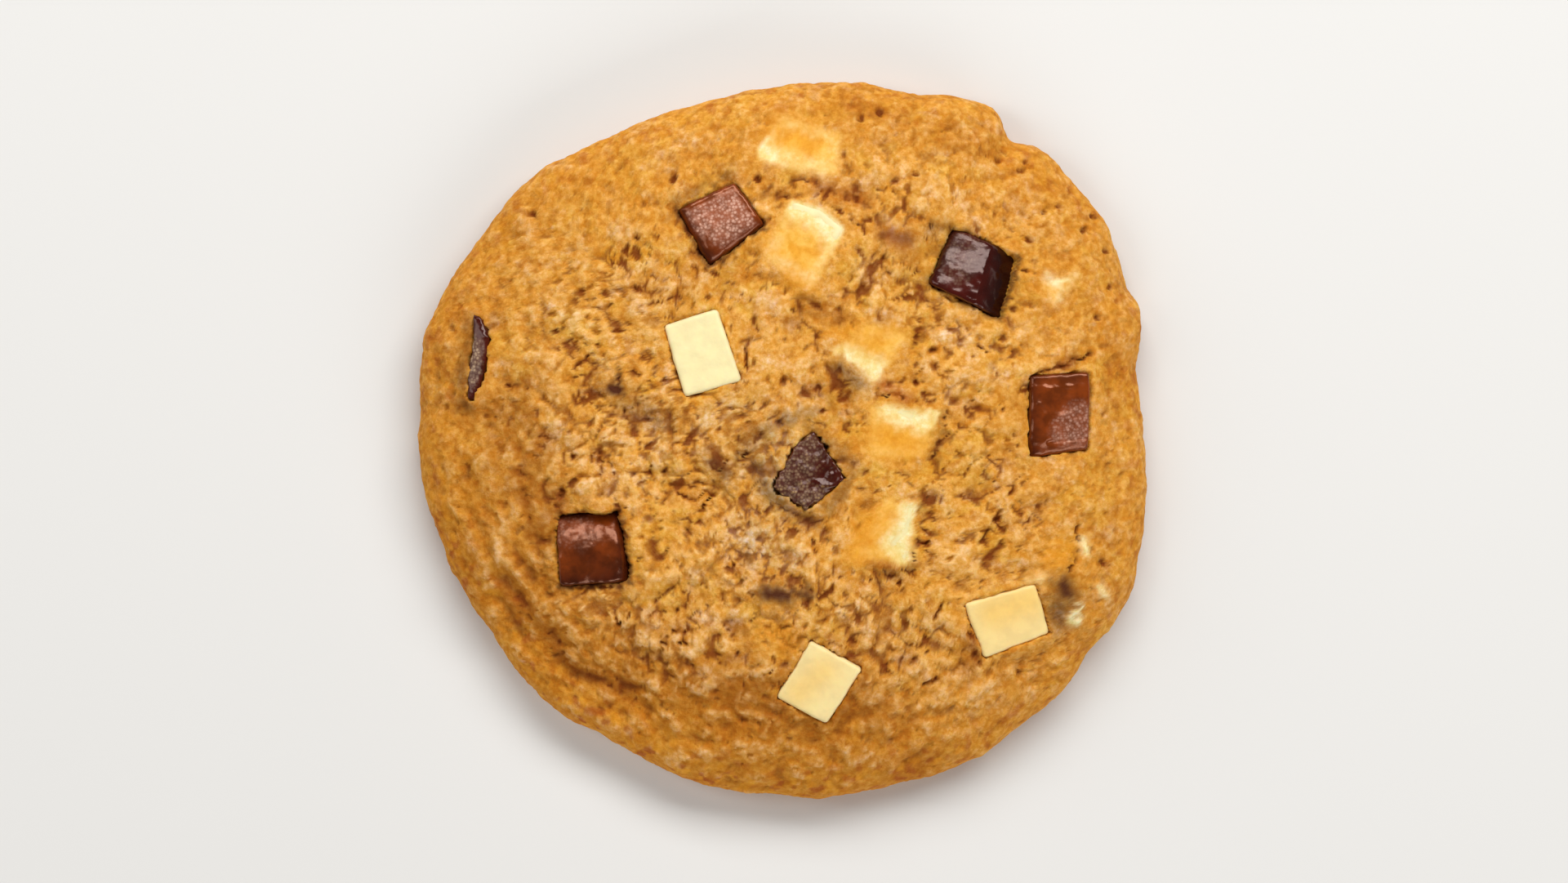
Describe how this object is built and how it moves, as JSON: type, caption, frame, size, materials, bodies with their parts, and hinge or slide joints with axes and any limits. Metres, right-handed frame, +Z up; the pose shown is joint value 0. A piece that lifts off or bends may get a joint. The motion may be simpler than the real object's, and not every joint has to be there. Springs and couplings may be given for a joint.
{
  "type": "triple chocolate cookie",
  "caption": "Thick round baked cookie with a domed, craggy top, set with square-cut chunks of white, milk and dark chocolate, and a flat underside to rest on.",
  "frame": {"origin": "middle of the box round the cookie, on its flat underside", "axes": "+Z up out of the domed top; +X to the right and +Y to the upper edge, seen from above as in the picture"},
  "size_m": [0.089, 0.0874, 0.0131],
  "materials": {
    "baked_dough": "matt, rough baked crust",
    "white_chocolate": "satin, browned where the dough covers it",
    "milk_chocolate": "satin to glossy",
    "dark_chocolate": "glossy"
  },
  "bodies": {
    "root": {"dough": "baked_dough", "milk_chunk_upper": "milk_chocolate", "milk_chunk_right": "milk_chocolate", "milk_chunk_left": "milk_chocolate", "milk_chip_upper_right": "milk_chocolate", "dark_chunk_upper_right": "dark_chocolate", "dark_chunk_centre": "dark_chocolate", "dark_sliver_left": "dark_chocolate", "dark_chip_lower_right": "dark_chocolate", "dark_chip_left": "dark_chocolate", "dark_chip_lower": "dark_chocolate", "white_chunk_upper_left": "white_chocolate", "white_chunk_lower": "white_chocolate", "white_chunk_lower_right": "white_chocolate", "white_chunk_rim": "white_chocolate", "white_chunk_upper": "white_chocolate", "white_chunk_mid_upper": "white_chocolate", "white_chunk_mid_right": "white_chocolate", "white_chunk_mid_lower": "white_chocolate", "white_chip_right": "white_chocolate"}
  },
  "joints": []
}
